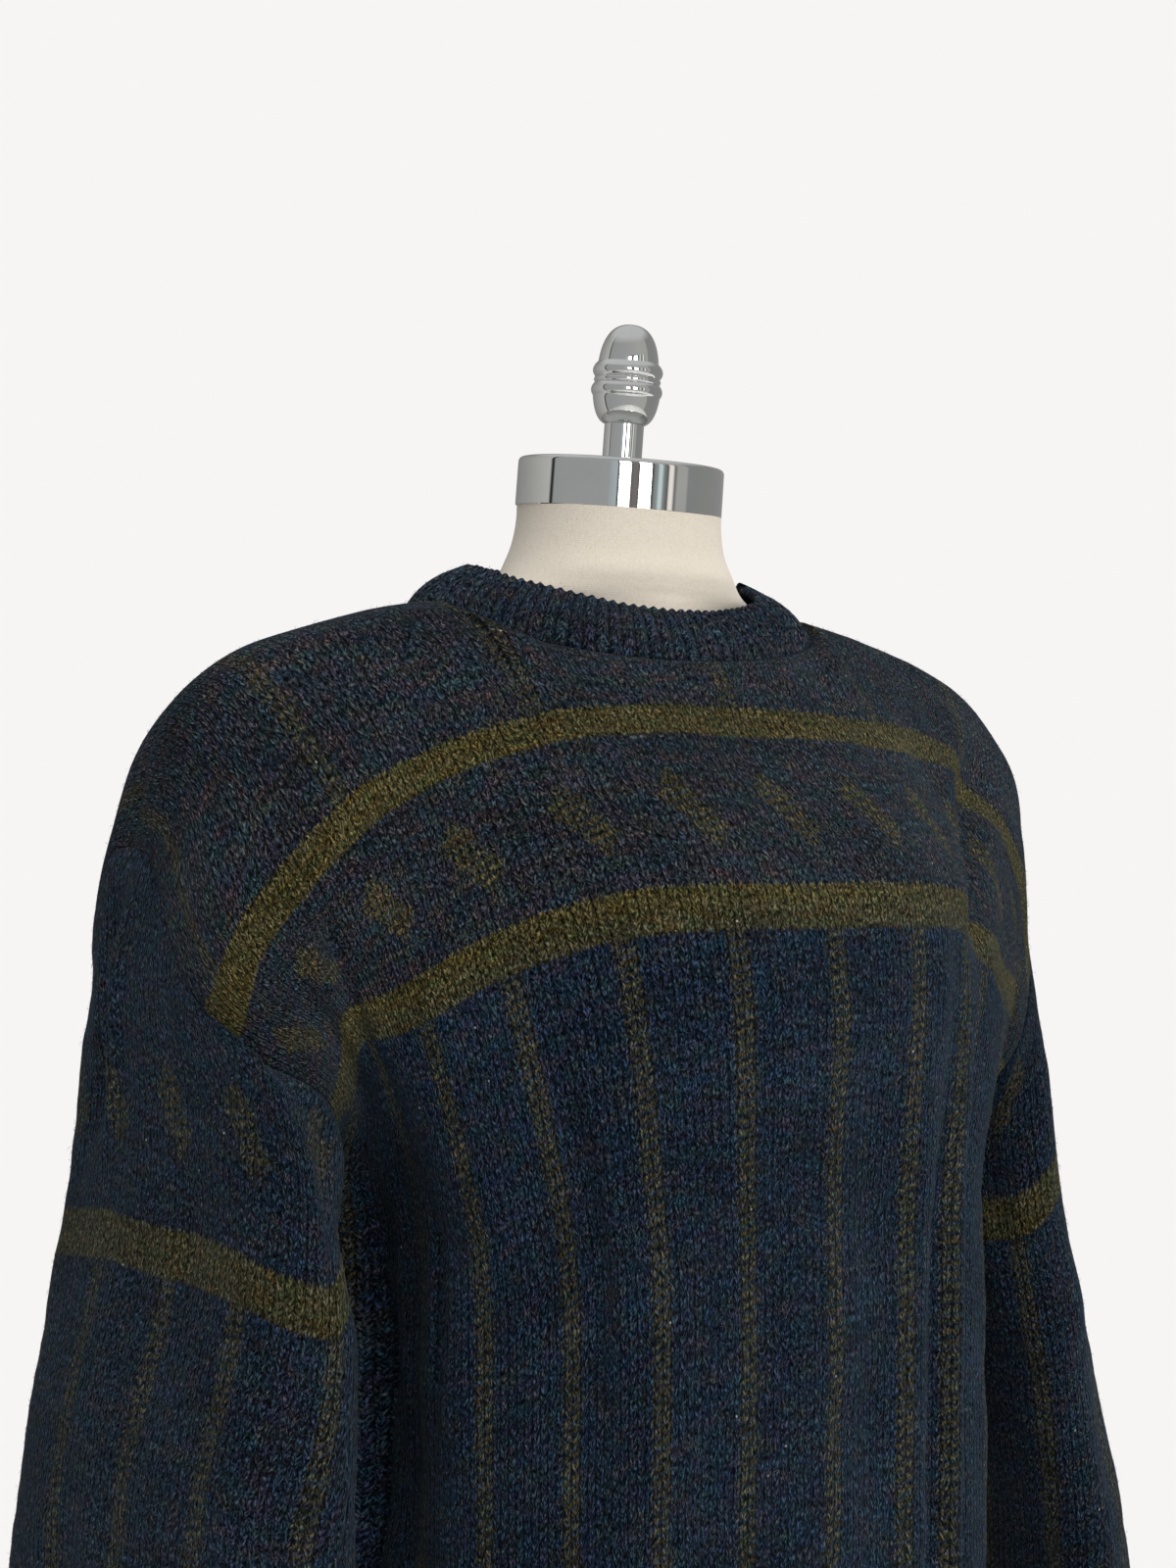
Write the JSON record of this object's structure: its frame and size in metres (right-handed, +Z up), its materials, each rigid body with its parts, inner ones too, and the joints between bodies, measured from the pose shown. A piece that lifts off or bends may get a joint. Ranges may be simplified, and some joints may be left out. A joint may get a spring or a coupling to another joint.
{
  "type": "wool sweater on a dress form",
  "caption": "Crew-neck knitted wool sweater with drop shoulders, wide sleeves and ribbed edges, worn by a limbless dress form on a pole and round foot.",
  "frame": {"origin": "centre of the underside of the round foot", "axes": "+Z up, -Y to the front of the sweater, +X to the wearer's left"},
  "size_m": [0.5785, 0.38, 1.5159],
  "materials": {
    "wool": "brushed heather knit, navy with moss bands and stripes",
    "linen": "plain cream linen cover",
    "chrome": "polished",
    "enamel": "satin dark enamel"
  },
  "bodies": {
    "root": {"front_panel": "wool", "back_panel": "wool", "sleeve_right": "wool", "sleeve_left": "wool", "neckband": "wool", "hem_rib_front": "wool", "hem_rib_back": "wool", "cuff_right": "wool", "cuff_left": "wool", "form_torso": "linen", "neck_cap": "chrome", "finial": "chrome", "form_socket": "chrome", "pole": "chrome", "foot": "enamel"}
  },
  "joints": []
}
